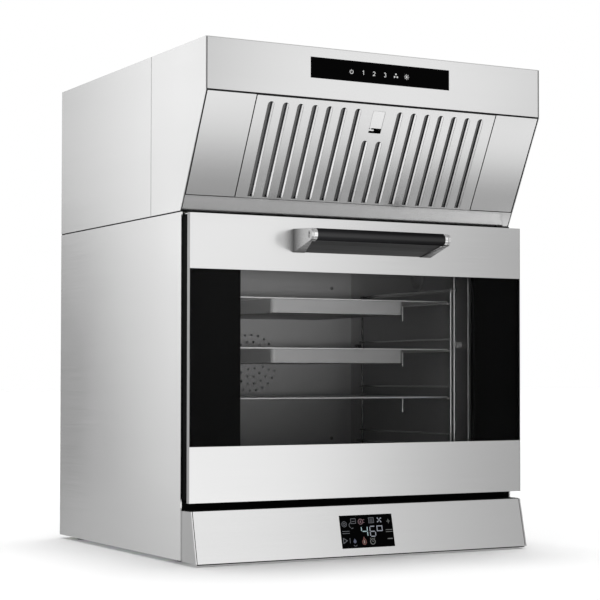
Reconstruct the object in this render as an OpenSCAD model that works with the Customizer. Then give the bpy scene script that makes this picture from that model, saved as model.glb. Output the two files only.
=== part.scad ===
// Convection oven with a condensing hood on top.
// X runs to the right, the front faces -Y, Z is up. The origin is the centre
// of the footprint, on the surface that the feet stand on.
// Inside the modules Y = 0 is the front edge of the side panels and Z = 0 is
// their bottom edge.

/* [Cabinet] */
// Width of the oven and the hood
cab_w = 602; // [600:1:606]
// Depth of the side panels
cab_d = 526; // [524:1:540]
// Height of the oven casing, up to the hood
oven_h = 530; // [530:1:531]
// Height to the top of the hood, without the feet
total_h = 784; // [780:1:800]
// Height of the feet
foot_h = 6; // [5:1:25]
// Thickness of the casing sheets
sheet = 1.2; // [1.0:0.1:1.4]

/* [Chamber] */
// Width of the cooking chamber
cav_w = 448; // [446:1:450]
// Bottom of the cooking chamber
cav_z0 = 128; // [126:1:129]
// Top of the cooking chamber
cav_z1 = 478; // [477:1:480]
// Depth of the cooking chamber
cav_d = 412; // [410:1:416]
// Height of the tray rim on the highest level
level_z = 404.4; // [403:0.1:405]
// Distance between two tray levels
level_pitch = 80; // [79:0.5:81]
// Width of a tray over its flanges
tray_w = 428; // [424:1:429]
// Depth of a tray, front to back
tray_d = 320; // [300:1:322]
// Depth of a tray's basin
basin_h = 24; // [10:1:30]

/* [Door] */
// Distance of the door's outer face from the casing
door_y = 30.3; // [30:0.1:32]
// Bottom edge of the door
door_z0 = 87.9; // [87:0.1:88.5]
// Top edge of the door
door_z1 = 526; // [522:0.5:527]
// Bottom edge of the visible glass
glass_z0 = 172.4; // [165:0.1:180]
// Top edge of the visible glass
glass_z1 = 441.8; // [436:0.1:446]
// Half width of the clear window in the black border
window_x = 213.5; // [200:0.5:220]
// Distance of the handle tube's axis from the casing
handle_y = 83; // [80:1:90]
// Height of the handle tube's axis
handle_z = 496; // [494:1:500]
// Radius of the handle tube
handle_r = 10; // [8:0.5:11]
// Height of the door hinge's axis
hinge_z = 100; // [99:0.5:101]

/* [Hood] */
// Distance of the hood's upright front from the casing
hood_y = 87.5; // [86:0.5:90]
// Height where the upright front ends and the slope starts
hood_z = 703.6; // [700:0.1:708]
// Half width of the grease filter
filter_x = 214.8; // [213.8:0.1:214.8]
// Distance between two slots of the filter
slot_pitch = 25.24; // [24:0.02:25.4]
// Width of a slot in the filter
slot_w = 10.8; // [8:0.1:12]

/* [Hidden] */
hw = cab_w / 2;
in_w = hw - sheet;
org_y = (cab_d + 18 - handle_y - handle_r) / 2;
hinge_y = -15;
cav_x = cav_w / 2;
cav_r = 8;
fan_z = (cav_z0 + cav_z1) / 2;
lip = 1.2;
slope_bot = [-8.14, 553.8];
slope_v = slope_bot - [-hood_y, hood_z];
slope_l = norm(slope_v);
slope_a = atan2(slope_v[0], -slope_v[1]);
strip_l = slope_l + (slope_bot[1] - oven_h + 0.7) / cos(slope_a);
ctl_top = [-32.5, 75.7];
ctl_bot = [-51.5, -1.5];
ctl_l = norm(ctl_bot - ctl_top);
ctl_a = atan2((ctl_bot - ctl_top)[0], -(ctl_bot - ctl_top)[1]);
foot_at = [for (x = [-1, 1], y = [48, cab_d - 46]) [x * (hw - 36), y]];
rear_screw_at = [for (x = [-1, 1], z = [20, 180, 350, 512, 548, 660, 768]) [x * (hw - 14), z]];
blower_at = [-70, 300];
lamp_at = [172, 448.5];
pipe_at = [120, 330];
wire_r = 1.6;
c_steel = [0.80, 0.80, 0.80];
c_dark = [0.06, 0.06, 0.06];
c_zinc = [0.62, 0.63, 0.65];
c_chrome = [0.85, 0.85, 0.87];
$fn = 64;

// ---------------------------------------------------------------- helpers

module place() translate([0, -org_y, foot_h]) children();

// Right-hand pieces as drawn, left-hand ones mirrored.
module hand(s) if (s > 0) children(); else mirror([1, 0, 0]) children();

// A box from its lowest to its highest corner.
module box(a, b) translate(a) cube(b - a);

// A rectangle with round corners, from its lowest to its highest corner.
module round_rect(a, b, r) {
    translate([a[0] + r, a[1]]) square([b[0] - a[0] - 2 * r, b[1] - a[1]]);
    translate([a[0], a[1] + r]) square([b[0] - a[0], b[1] - a[1] - 2 * r]);
    for (x = [a[0] + r, b[0] - r], y = [a[1] + r, b[1] - r])
        translate([x, y]) circle(r = r);
}

// Stands a shape drawn in X and Z between two depths.
module upright(y0, y1) translate([0, y1, 0]) rotate([90, 0, 0])
    linear_extrude(height = y1 - y0) children();

// Stretches a shape drawn in Y and Z between two places along X.
module sideways(x0, x1) translate([x0, 0, 0]) rotate([90, 0, 90])
    linear_extrude(height = x1 - x0) children();

// A round bar along one axis from point p with length l.
module bar_x(p, l, r) translate(p) rotate([0, 90, 0]) cylinder(r = r, h = l);
module bar_y(p, l, r) translate(p) rotate([-90, 0, 0]) cylinder(r = r, h = l);
module bar_z(p, l, r) translate(p) cylinder(r = r, h = l);

// The slope of the hood: x across, y into the hood, z up the slope from its top edge.
module on_slope() translate([0, -hood_y, hood_z]) rotate([slope_a, 0, 0]) children();

// The slanted control panel: x across, y inwards, z up from its top edge.
module on_control() translate([0, ctl_top[0], ctl_top[1]]) rotate([ctl_a, 0, 0]) children();

// A row of upright slots in a sheet that faces the back.
module slot_row(x0, n, pitch, w, z0, z1) {
    for (i = [0:n - 1]) translate([x0 + i * pitch, 0]) {
        translate([-w / 2, z0 + w / 2]) square([w, z1 - z0 - w]);
        for (z = [z0 + w / 2, z1 - w / 2]) translate([0, z]) circle(r = w / 2);
    }
}

// ---------------------------------------------------------------- casing

module base_pan() color(c_zinc) place() difference() {
    box([-in_w, 1.5, 0], [in_w, cab_d - sheet, sheet]);
    for (p = foot_at) bar_z([p[0], p[1], -1], 4, 4.2);
    for (i = [-5:5]) box([i * 34 - 3, 330, -1], [i * 34 + 3, 420, 3]);
}

module feet() color([0.12, 0.12, 0.12]) place() for (p = foot_at) {
    bar_z([p[0], p[1], -foot_h], foot_h - 2, 19);
    bar_z([p[0], p[1], -2.2], 2.2, 11);
    bar_z([p[0], p[1], -1], 17, 4);
    translate([p[0], p[1], sheet]) cylinder(r = 7.5, h = 6, $fn = 6);
}

module side_panels() color(c_steel) place() for (s = [-1, 1]) hand(s) {
    box([in_w, 0, 0], [hw, cab_d, oven_h - 1]);
    box([in_w - 1, 0, 1.4], [in_w, 5, oven_h - 1]);
}

module top_panel() color(c_zinc) place() difference() {
    box([-in_w, 7, oven_h - sheet], [in_w, cab_d - sheet, oven_h]);
    bar_z([pipe_at[0], pipe_at[1], oven_h - 5], 10, 18.2);
}

module rear_panel() color(c_zinc) place() upright(cab_d - sheet, cab_d) difference() {
    translate([-in_w, sheet]) square([2 * in_w, oven_h - 2 * sheet]);
    for (p = rear_screw_at) if (p[1] < oven_h) translate(p) circle(r = 2.1, $fn = 24);
    translate([-250, 60]) circle(r = 11.2);
    translate([250, 60]) circle(r = 3.2, $fn = 32);
    slot_row(-90, 13, 15, 6, 380, 470);
    slot_row(-90, 13, 15, 6, 26, 74);
}

module front_frame() color(c_dark) place() difference() {
    upright(0, 1.5) translate([-in_w + 1.1, ctl_top[1] - 0.6]) square([2 * in_w - 2.2, oven_h - 1.2 - ctl_top[1]]);
    upright(-2, 3) round_rect([-cav_x, cav_z0], [cav_x, cav_z1], cav_r);
    for (s = [-1, 1]) box([s * 271.5 - 3, -1, 90], [s * 271.5 + 3, 2, 112]);
}

// The dark ledge between the door and the control panel, and the plate behind the panel.
module front_ledge() color(c_dark) place() {
    box([-in_w + 2.4, -30.9, 73.9], [in_w - 2.4, 0.5, 75.1]);
    upright(0, 1.5) difference() {
        translate([-in_w + 2.4, 2]) square([2 * in_w - 4.8, 73.1]);
        translate([-60, 14]) square([120, 50]);
    }
}

module door_gasket() color([0.09, 0.09, 0.09]) place() upright(-4.1, 0) difference() {
    round_rect([-cav_x - 12, cav_z0 - 12], [cav_x + 12, cav_z1 + 12], 20);
    round_rect([-cav_x - 2, cav_z0 - 2], [cav_x + 2, cav_z1 + 2], cav_r + 2);
}

module cavity_shell() color([0.70, 0.70, 0.71]) place() difference() {
    upright(1.5, cav_d) round_rect([-cav_x - lip, cav_z0 - lip], [cav_x + lip, cav_z1 + lip], cav_r + lip);
    upright(0, cav_d - lip) round_rect([-cav_x, cav_z0], [cav_x, cav_z1], cav_r);
    bar_y([0, cav_d - 5, fan_z], 10, 8);
    for (x = [-12, 12]) bar_y([x, cav_d - 5, fan_z - 102], 10, 4.2);
    bar_x([cav_x - 5, lamp_at[0], lamp_at[1]], 10, 20.1);
    bar_z([pipe_at[0], pipe_at[1], cav_z1 - 5], 10, 16.5);
}

module cavity_insulation() color([0.86, 0.84, 0.76]) place() difference() {
    box([-254, 2, cav_z0 - 26], [254, cav_d + 26, cav_z1 + 24]);
    upright(0, cav_d) round_rect([-cav_x - lip, cav_z0 - lip], [cav_x + lip, cav_z1 + lip], cav_r + lip);
    bar_y([0, cav_d - 5, fan_z], 40, 50);
    for (x = [-12, 12]) bar_y([x, cav_d - 5, fan_z - 102], 40, 5);
    bar_x([cav_x, lamp_at[0], lamp_at[1]], 40, 24);
    bar_z([pipe_at[0], pipe_at[1], cav_z1 - 5], 40, 18.2);
}

// One wire rack against a side wall, with a pair of rails for each level.
module rack(s) place() hand(s) {
    xw = cav_x - 3.4;
    bar_z([xw, 48, cav_z0 + 5], cav_z1 - cav_z0 - 10, wire_r);
    for (y = [59, 362]) bar_z([xw, y, cav_z0 + 5], level_z + 23.2 - cav_z0 - 5, wire_r);
    for (z = [cav_z0 + 8, level_z + 20.6]) bar_y([xw, 45, z], 320, wire_r + 0.25);
    for (i = [0:3]) {
        z = level_z - i * level_pitch;
        bar_y([xw - 9, 53, z - 2.6], 315, wire_r);
        for (y = [59, 362]) bar_x([xw - 9, y, z - 2.6], 9, wire_r - 0.3);
        bar_z([xw - 9, 203, z - 28], 25.6, wire_r - 0.4);
        bar_y([xw - 2.2, 53, z + 17], 315, wire_r - 0.1);
    }
    // Thumb screws that hold the rack to the wall.
    for (p = [[35, 35, 47.6], [376, 362.4, 376]]) {
        bar_x([cav_x - 8.6, p[0], 332], 8.6, 5.5);
        box([xw - 1.2, p[1], 330.6], [xw + 0.9, p[2], 333.4]);
    }
}
module rack_left() color(c_chrome) rack(-1);
module rack_right() color(c_chrome) rack(1);

module fan_cover() color([0.66, 0.66, 0.67]) place() difference() {
    union() {
        upright(378, 379.2) round_rect([-178, 152], [178, 454], 8);
        for (s = [-1, 1]) box([s * 177.4 - 0.6, 379.2, 160], [s * 177.4 + 0.6, cav_d - lip, 446]);
    }
    // The air comes in through small holes and goes out at both sides.
    for (i = [0:7]) box([-180, 384, 180 + i * 33], [180, 405, 202 + i * 33]);
    upright(377, 380) {
        for (n = [1:4], k = [0:6 * n - 1]) translate([0, fan_z]) rotate(k * 60 / n + 7 * n)
            translate([n * 12.5, 0]) circle(r = 2.1, $fn = 12);
        for (p = [[-165, 166], [165, 166], [-165, 440], [165, 440]]) translate(p) circle(r = 3.2, $fn = 24);
    }
}

module fan_motor() color([0.35, 0.36, 0.38]) place() {
    bar_y([0, 386, fan_z], 60, 4);
    bar_y([0, cav_d, fan_z], 7, 46);
    bar_y([0, cav_d + 6, fan_z], 50, 37);
    bar_y([0, cav_d + 55, fan_z], 10, 26);
    for (a = [45:90:359]) bar_y([41 * cos(a), cav_d + 6, fan_z + 41 * sin(a)], 4, 3);
}

module ring_heater() color([0.30, 0.27, 0.25]) place() {
    for (r = [102, 114]) translate([0, 395 + (r > 110 ? 5 : 0), fan_z]) rotate([90, 0, 0])
        rotate_extrude($fn = 96) translate([r, 0]) circle(r = 3.3, $fn = 24);
    for (x = [-12, 12]) bar_y([x, 393, fan_z - 102], 52, 3.3);
    for (a = [30, 150, 270]) translate([0, 397, fan_z]) rotate([0, -a, 0]) box([98, -3, -3], [118, 4, 3]);
}

module lamp_holder() color([0.72, 0.72, 0.73]) place() difference() {
    union() {
        bar_x([cav_x - 3, lamp_at[0], lamp_at[1]], 3, 21);
        bar_x([cav_x - 3, lamp_at[0], lamp_at[1]], 33, 20);
    }
    bar_x([cav_x - 4, lamp_at[0], lamp_at[1]], 32, 18.4);
}

module lamp_bulb() color([0.98, 0.94, 0.80]) place() translate([cav_x + 12, lamp_at[0], lamp_at[1]])
    rotate([0, 90, 0]) rotate_extrude() intersection() {
        union() {
            circle(r = 9);
            square([7, 16]);
        }
        translate([0, -10]) square([12, 30]);
    }

module lamp_glass() color([0.9, 0.92, 0.92, 0.5]) place() translate([cav_x, lamp_at[0], lamp_at[1]])
    rotate([0, -90, 0]) rotate_extrude() {
        translate([0, -2]) square([18.3, 5]);
        intersection() {
            translate([0, -30]) circle(r = 37);
            translate([0, 2.9]) square([18.3, 6]);
        }
    }

module steam_pipe() color([0.68, 0.68, 0.70]) place() difference() {
    union() {
        bar_z([pipe_at[0], pipe_at[1], cav_z1 + lip], 74, 18);
        bar_z([pipe_at[0], pipe_at[1], oven_h + sheet], 2, 25);
    }
    bar_z([pipe_at[0], pipe_at[1], cav_z1 - 3], 90, 16.5);
}

module hinge_receivers() color([0.45, 0.45, 0.47]) place() for (s = [-1, 1]) {
    sideways(s * 271.5 - 1.5, s * 271.5 + 1.5) {
        translate([hinge_y, hinge_z]) circle(r = 6, $fn = 48);
        translate([hinge_y, hinge_z - 6]) square([20, 12]);
        translate([4, 86]) square([62, 34]);
    }
    box([s * 277 - 8, 2.2, 86], [s * 277 + 8, 4, 120]);
    bar_x([s * 269.5 - 8.5, hinge_y, hinge_z], 17, 3);
}

module casing_screws() color(c_chrome) place() for (p = rear_screw_at) difference() {
    union() {
        bar_y([p[0], cab_d, p[1]], 2.2, 4);
        bar_y([p[0], cab_d - 9, p[1]], 10, 2);
    }
    box([p[0] - 3, cab_d + 1.2, p[1] - 0.5], [p[0] + 3, cab_d + 3, p[1] + 0.5]);
}

module cable_gland() color(c_dark) place() difference() {
    union() {
        bar_y([-250, cab_d - 12, 60], 12, 11);
        translate([-250, cab_d, 60]) rotate([-90, 0, 0]) cylinder(r = 15, h = 6, $fn = 6);
        bar_y([-250, cab_d + 5, 60], 10, 12);
        bar_y([-250, cab_d + 14, 60], 4, 9.5);
        translate([-250, cab_d - 7.2, 60]) rotate([-90, 0, 0]) cylinder(r = 15, h = 6, $fn = 6);
    }
    bar_y([-250, cab_d - 20, 60], 50, 5);
}

module earth_stud() color([0.78, 0.70, 0.42]) place() {
    bar_y([250, cab_d - 10, 60], 28, 3);
    translate([250, cab_d, 60]) rotate([-90, 0, 0]) cylinder(r = 6.4, h = 5, $fn = 6);
    translate([250, cab_d - 6.2, 60]) rotate([-90, 0, 0]) cylinder(r = 6.4, h = 5, $fn = 6);
}

// ---------------------------------------------------------------- control panel

module control_fascia() color(c_steel) place() {
    on_control() difference() {
        box([-in_w + 4.5, 0, -ctl_l], [in_w - 4.5, sheet, 0]);
        box([-47.7, -1, -67.9], [47.7, 4, -15.7]);
    }
    box([-in_w + 4.5, ctl_bot[0] + 0.6, ctl_bot[1]], [in_w - 4.5, 0, ctl_bot[1] + sheet]);
}

module fascia_cheeks() color(c_steel) place() for (s = [-1, 1]) hand(s) {
    sideways(in_w - 2.2, in_w - 1.2) polygon([ctl_top, ctl_bot, [1.4, -1.2], [1.4, ctl_top[1] - 0.7]]);
    sideways(in_w - 3.3, in_w - 2.1) polygon([ctl_top, ctl_bot, ctl_bot + [1.03, 0.2], ctl_top + [1.03, -0.1]]);
}

module display_glass() color([0.03, 0.03, 0.04]) place() on_control()
    box([-47.5, -0.3, -67.7], [47.5, 3.2, -15.9]);

module control_board() color([0.10, 0.32, 0.16]) place() on_control() {
    box([-58, 7, -72], [58, 8.6, -12]);
    box([-30, 8.6, -60], [-6, 13, -36]);
    box([12, 8.6, -52], [44, 19, -24]);
    for (x = [-52, 52], z = [-68, -14]) bar_y([x, 3.2, z + 0.5], 4, 2.2);
    box([-53, 3.2, -70], [53, 4.2, -12]);
}

// ---------------------------------------------------------------- hood

module hood_base() color(c_zinc) place() difference() {
    box([-in_w, 7, oven_h], [in_w, cab_d - sheet, oven_h + sheet]);
    bar_z([pipe_at[0], pipe_at[1], oven_h - 5], 10, 18.2);
}

module hood_front_sides() color(c_steel) place() for (s = [-1, 1])
    sideways(s > 0 ? in_w : -hw, s > 0 ? hw : -in_w) polygon([
        [118.2, oven_h + 1.2], [118.2, total_h], [-hood_y, total_h], [-hood_y, hood_z],
        slope_bot, slope_bot + [(slope_bot[1] - oven_h - 1.2) * tan(slope_a), oven_h + 1.2 - slope_bot[1]]]);

module hood_rear_sides() color(c_steel) place() for (s = [-1, 1])
    box([s > 0 ? in_w : -hw, 119.4, oven_h + 1.2], [s > 0 ? hw : -in_w, cab_d, total_h]);

module hood_top() color(c_steel) place() difference() {
    box([-in_w, -hood_y, total_h - sheet], [in_w, cab_d - sheet, total_h]);
    box([-in_w - 1, 118.2, total_h - 0.5], [in_w + 1, 119.4, total_h + 1]);
}

module hood_back() color(c_zinc) place() difference() {
    upright(cab_d - sheet, cab_d) difference() {
        translate([-in_w, oven_h + sheet]) square([2 * in_w, total_h - oven_h - 2 * sheet]);
        for (p = rear_screw_at) if (p[1] > oven_h) translate(p) circle(r = 2.1, $fn = 24);
        slot_row(-190, 13, 15, 6, 640, 740);
    }
    bar_y([200, cab_d - 5, 562], 10, 10.2);
}

module hood_fascia() color(c_steel) place() difference() {
    box([-in_w + 1.6, -hood_y, hood_z + 2.2], [in_w - 1.6, -hood_y + sheet, total_h - sheet]);
    box([-125.2, -hood_y - 1, 736], [125.2, -hood_y + 3, 768.4]);
}

module hood_touch_panel() color([0.03, 0.03, 0.03]) place()
    box([-125, -hood_y - 0.3, 736.2], [125, -hood_y + 4, 768.2]);

module hood_blank(s) place() on_slope() hand(s) {
    box([filter_x + 1.8, 0, -slope_l + 1.8], [in_w - 2.4, sheet, -0.8]);
    box([filter_x + 1.8, sheet, -slope_l + 1.8], [filter_x + 2.8, 14, -0.8]);
}
module hood_blanks() color(c_steel) for (s = [-1, 1]) hood_blank(s);

module hood_lower_strip() color(c_steel) place() on_slope() {
    box([-in_w + 1.2, 0, -strip_l], [in_w - 1.2, sheet, -slope_l + 0.4]);
    box([-in_w + 1.2, sheet, -slope_l - 0.8], [in_w - 1.2, 16, -slope_l + 0.4]);
}

module blower_housing() color(c_zinc) place() translate([blower_at[0], blower_at[1], 0]) difference() {
    union() {
        bar_z([0, 0, 602], 90, 96);
        box([10, 0, 602], [94, 150, 692]);
        for (a = [100, 220, 340]) bar_z([84 * cos(a), 84 * sin(a), 691], total_h - sheet - 691, 4);
    }
    bar_z([0, 0, 603.5], 87, 94.5);
    box([11.5, 0, 603.5], [92.5, 152, 690.5]);
    bar_z([0, 0, 600], 10, 50);
    bar_z([0, 0, 685], 10, 8);
}

module blower_motor() color([0.35, 0.36, 0.38]) place() translate([blower_at[0], blower_at[1], 0]) {
    bar_z([0, 0, 660], 40, 4);
    bar_z([0, 0, 692], 6, 58);
    bar_z([0, 0, 697], 44, 46);
    bar_z([0, 0, 741], 8, 20);
}

module condenser_core() color([0.74, 0.75, 0.77]) place() {
    for (x = [80, 270]) box([x, 150, 560], [x + 4, 470, 700]);
    for (i = [0:11]) box([84, 156 + i * 27.6, 566], [270, 158 + i * 27.6, 694]);
    for (z = [590, 630, 670]) bar_x([70, 310, z], 206, 9);
    for (x = [82, 272], y = [160, 460]) bar_z([x, y, oven_h + sheet], 32, 4);
}

module drain_spout() color([0.72, 0.72, 0.74]) place() difference() {
    union() {
        bar_y([200, cab_d - 26, 562], 44, 8);
        bar_y([200, cab_d - 3.2, 562], 2, 14);
    }
    bar_y([200, cab_d - 30, 562], 60, 6);
}

// ---------------------------------------------------------------- door

module door_inner_pan() color([0.55, 0.55, 0.56]) place() difference() {
    union() {
        box([-284, -6, 92], [284, -4.5, 520]);
        box([-284, -23, 92], [284, -6, 93.2]);
        box([-284, -23, 518.8], [284, -6, 520]);
    }
    upright(-7, -4) round_rect([-238, 122], [238, 490], 10);
    for (s = [-1, 1]) box([s * 271.5 - 4, -24, 91], [s * 271.5 + 4, -4, 118]);
}

module door_inner_glass() color([0.75, 0.78, 0.78, 0.35]) place()
    box([-246, -10, 114], [246, -6, 498]);

module door_outer_glass() color([0.75, 0.78, 0.78, 0.35]) place()
    box([-hw + 1, -door_y + 0.3, glass_z0 + 0.2], [hw - 1, -door_y + 4.3, glass_z1 - 0.2]);

module door_glass_mask() color(c_dark) place() upright(-door_y + 4.3, -door_y + 5.1) difference() {
    translate([-hw + 1, 100]) square([cab_w - 2, 415]);
    translate([-window_x, glass_z0 - 6]) square([2 * window_x, glass_z1 - glass_z0 + 12]);
}

module door_top_strip() color(c_steel) place() {
    box([-hw + 1, -door_y, glass_z1], [hw - 1, -door_y + 1, door_z1]);
    box([-hw + 1, -door_y + 1, door_z1 - 1], [hw - 1, -door_y + 7.3, door_z1]);
    box([-hw + 4, -door_y + 7, door_z1 - 1], [hw - 4, -4.6, door_z1]);
    box([-hw + 1, -door_y + 1, glass_z1], [hw - 1, -door_y + 4.3, glass_z1 + 1]);
}

module door_bottom_strip() color(c_steel) place() {
    box([-hw + 1, -door_y, door_z0], [hw - 1, -door_y + 1, glass_z0]);
    box([-hw + 1, -door_y + 1, door_z0], [hw - 1, -door_y + 7.3, door_z0 + 1]);
    box([-hw + 1, -door_y + 1, glass_z0 - 1], [hw - 1, -door_y + 4.3, glass_z0]);
}

module door_edge_trims() color(c_steel) place() for (s = [-1, 1])
    box([s > 0 ? hw - 1 : -hw, -door_y, door_z0], [s > 0 ? hw : -hw + 1, -door_y + 7.3, door_z1]);

module door_rails() color(c_dark) place() for (s = [-1, 1]) hand(s) difference() {
    box([284, -23, 92], [hw - 1.6, -4.8, 521]);
    box([285.5, -21.5, 90], [hw - 3.1, -6.3, 523]);
}

module hinge_arms() color([0.45, 0.45, 0.47]) place() for (s = [-1, 1]) difference() {
    sideways(s * 265.5 - 1.5, s * 265.5 + 1.5) {
        translate([hinge_y, hinge_z]) circle(r = 6.2, $fn = 48);
        translate([-21, hinge_z]) square([10, 150]);
    }
    bar_x([s * 265.5 - 5, hinge_y, hinge_z], 10, 3.07);
}

// The grip: a tube with a web that closes the pocket below it.
module handle_grip() color([0.07, 0.07, 0.075]) place() {
    dy = handle_y - door_y - 4;
    dz = handle_z - 8.7 - 471.6;
    l = norm([dy, dz]);
    bar_x([-115, -handle_y, handle_z], 230, handle_r);
    translate([0, -door_y, 471.6]) rotate([-atan2(dz, dy), 0, 0]) linear_extrude(height = 1.6)
        polygon([[-104.2, -0.7], [104.2, -0.7], [116.8, -l * 0.9], [114, -l * 0.9], [114, -l],
            [-114, -l], [-114, -l * 0.9], [-116.8, -l * 0.9]]);
    for (s = [-1, 1]) bar_x([s * 118 - 3, -handle_y, handle_z], 6, 6.4);
}

module handle_brackets() color(c_steel) place() for (s = [-1, 1]) hand(s) difference() {
    hull() {
        box([105.4, -door_y - 1, 471.2], [125, -door_y, 508]);
        bar_x([121.2, -handle_y, handle_z], 3.8, handle_r - 0.3);
    }
    bar_x([100, -handle_y, handle_z], 21.2, handle_r + 0.1);
    hull() for (z = [-2.8, 2.8]) bar_x([120, -handle_y, handle_z + z], 7, 2.8);
}

module handle_caps() color(c_chrome) place() for (s = [-1, 1]) hand(s)
    translate([115.1, -handle_y, handle_z]) rotate([0, 90, 0]) rotate_extrude() {
        translate([6.45, 0]) square([handle_r - 6.45, 4.9]);
        translate([6.45, 4.8]) square([handle_r - 7.45, 1.1]);
        translate([handle_r - 1, 4.9]) circle(r = 1, $fn = 32);
    }

// ---------------------------------------------------------------- filter

// Where the round top of slot i ends; the two middle ones are shorter.
function slot_top(i) = abs(i + 0.5) < 1 ? -61 : -9.6;
slot_bot = -slope_l + 3.8;

module filter_slot(i) {
    z_top = slot_top(i);
    translate([-slot_w / 2, slot_bot]) square([slot_w, z_top - slot_w / 2 - slot_bot]);
    translate([0, z_top - slot_w / 2]) circle(r = slot_w / 2, $fn = 48);
}

// The sections of a slot's two edges, which are pressed inwards: a long shallow one on
// the left and a short steep one on the right.
module slot_edges() {
    polygon([[-slot_w / 2 - 0.7, 0.25], [-0.4, 2.1], [-0.4, 3.0], [-1.2, 3.0], [-slot_w / 2 - 0.7, 1.1]]);
    polygon([[slot_w / 2 + 0.7, 0.25], [3.3, 2.6], [3.3, 3.5], [4.0, 3.5], [slot_w / 2 + 0.7, 1.1]]);
}

module filter_panel() color(c_steel) place() on_slope() {
    difference() {
        union() {
            box([-filter_x, 0, -slope_l + 1.2], [filter_x, sheet, -1.3]);
            for (s = [-1, 1]) box([s > 0 ? filter_x - 1 : -filter_x, sheet, -slope_l + 1.2], [s > 0 ? filter_x : -filter_x + 1, 12, -1.3]);
            box([-filter_x, sheet, -2.3], [filter_x, 12, -1.3]);
            bar_x([-filter_x, 1.1, -slope_l + 2.2], 2 * filter_x, 1.1);
        }
        upright(-2, 3) {
            for (i = [-8:7]) translate([(i + 0.5) * slot_pitch, 0]) filter_slot(i);
            round_rect([-11.2, -47.8], [10.8, -11.0], 1.0);
        }
    }
    for (i = [-8:7]) translate([(i + 0.5) * slot_pitch, 0, slot_bot - 0.4])
        linear_extrude(height = slot_top(i) - 1.8 - slot_bot) slot_edges();
}

module filter_mesh() color([0.16, 0.16, 0.17]) place() on_slope() difference() {
    box([-filter_x + 1.2, 7, -slope_l + 5], [filter_x - 1.2, 11.8, -4.9]);
    box([-18, 6, -57], [16, 13, -2]);
}

module filter_latch() color([0.86, 0.86, 0.87]) place() on_slope() {
    box([-10.7, 0.3, -39.6], [10.4, 1.8, -11.4]);
    box([-8.6, 1.8, -44.6], [-6.6, 3.4, -20]);
    box([-10.4, 1.8, -44.6], [-1.5, 3.4, -42.4]);
    box([-6, 1.8, -30], [6, 3.4, -5.6]);
}

// ---------------------------------------------------------------- wheels

module fan_wheel() color([0.60, 0.61, 0.63]) place() translate([0, 0, fan_z]) difference() {
    union() {
        bar_y([0, 388, 0], 17, 11);
        bar_y([0, 403, 0], 1.5, 86);
        for (a = [0:36:359]) rotate([0, a, 0]) box([30, 388, -0.6], [86, 403.5, 0.6]);
        difference() {
            bar_y([0, 388, 0], 1.2, 86);
            bar_y([0, 387, 0], 3, 66);
        }
    }
    bar_y([0, 380, 0], 40, 4.06);
}

module blower_wheel() color([0.60, 0.61, 0.63]) place() translate([blower_at[0], blower_at[1], 0]) difference() {
    union() {
        bar_z([0, 0, 662], 22, 11);
        bar_z([0, 0, 682], 1.5, 74);
        difference() {
            bar_z([0, 0, 612], 2, 74);
            bar_z([0, 0, 611], 4, 60);
        }
        for (a = [0:20:359]) rotate([0, 0, a]) box([60, -0.6, 613], [74, 0.6, 682.5]);
    }
    bar_z([0, 0, 650], 50, 4.06);
}

// ---------------------------------------------------------------- trays

// A tray with a basin; z is the top of its rim.
module tray(z, depth) place() {
    t = 1.0;
    tx = tray_w / 2;
    difference() {
        union() {
            translate([0, 0, z - t]) linear_extrude(height = t) round_rect([-tx, 47], [tx, 47 + tray_d], 16);
            translate([0, 0, z - depth]) linear_extrude(height = depth) round_rect([-122, 50], [122, 44 + tray_d], 7);
        }
        translate([0, 0, z - depth + t]) linear_extrude(height = depth) round_rect([-122 + t, 50 + t], [122 - t, 44 + tray_d - t], 7 - t);
    }
    // The rolled front edge.
    bar_x([-tx + 16, 47.6, z - 1.2], 2 * tx - 32, 1.2);
}
module tray_upper() color([0.78, 0.78, 0.79]) tray(level_z + 0.3, basin_h);
module tray_middle() color([0.78, 0.78, 0.79]) tray(level_z - level_pitch + 0.3, basin_h);

// A flat shelf plate on the third level.
module tray_lower() color([0.78, 0.78, 0.79]) place() {
    z = level_z - 2 * level_pitch + 0.3;
    tx = tray_w / 2;
    translate([0, 0, z - 1]) linear_extrude(height = 1) difference() {
        round_rect([-tx, 47], [tx, 47 + tray_d], 16);
        for (i = [-6:6], j = [0:3]) translate([i * 30, 82 + j * 80]) circle(r = 4, $fn = 24);
    }
    bar_x([-tx + 16, 47.6, z - 1.2], 2 * tx - 32, 1.2);
}

// ---------------------------------------------------------------- assembly

base_pan();
feet();
side_panels();
top_panel();
rear_panel();
front_frame();
front_ledge();
door_gasket();
cavity_shell();
cavity_insulation();
rack_left();
rack_right();
fan_cover();
fan_motor();
ring_heater();
lamp_holder();
lamp_bulb();
lamp_glass();
steam_pipe();
control_fascia();
fascia_cheeks();
display_glass();
control_board();
cable_gland();
earth_stud();
hinge_receivers();
casing_screws();
hood_base();
hood_front_sides();
hood_rear_sides();
hood_top();
hood_back();
hood_fascia();
hood_touch_panel();
hood_blanks();
hood_lower_strip();
blower_housing();
blower_motor();
condenser_core();
drain_spout();
door_inner_pan();
door_inner_glass();
door_outer_glass();
door_glass_mask();
door_top_strip();
door_bottom_strip();
door_edge_trims();
door_rails();
hinge_arms();
handle_grip();
handle_brackets();
handle_caps();
filter_panel();
filter_mesh();
filter_latch();
fan_wheel();
blower_wheel();
tray_upper();
tray_middle();
tray_lower();
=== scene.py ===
"""A convection oven with a condensing hood: looks, small details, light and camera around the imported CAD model."""
import math

import bmesh
import bpy
from mathutils import Matrix, Vector


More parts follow.
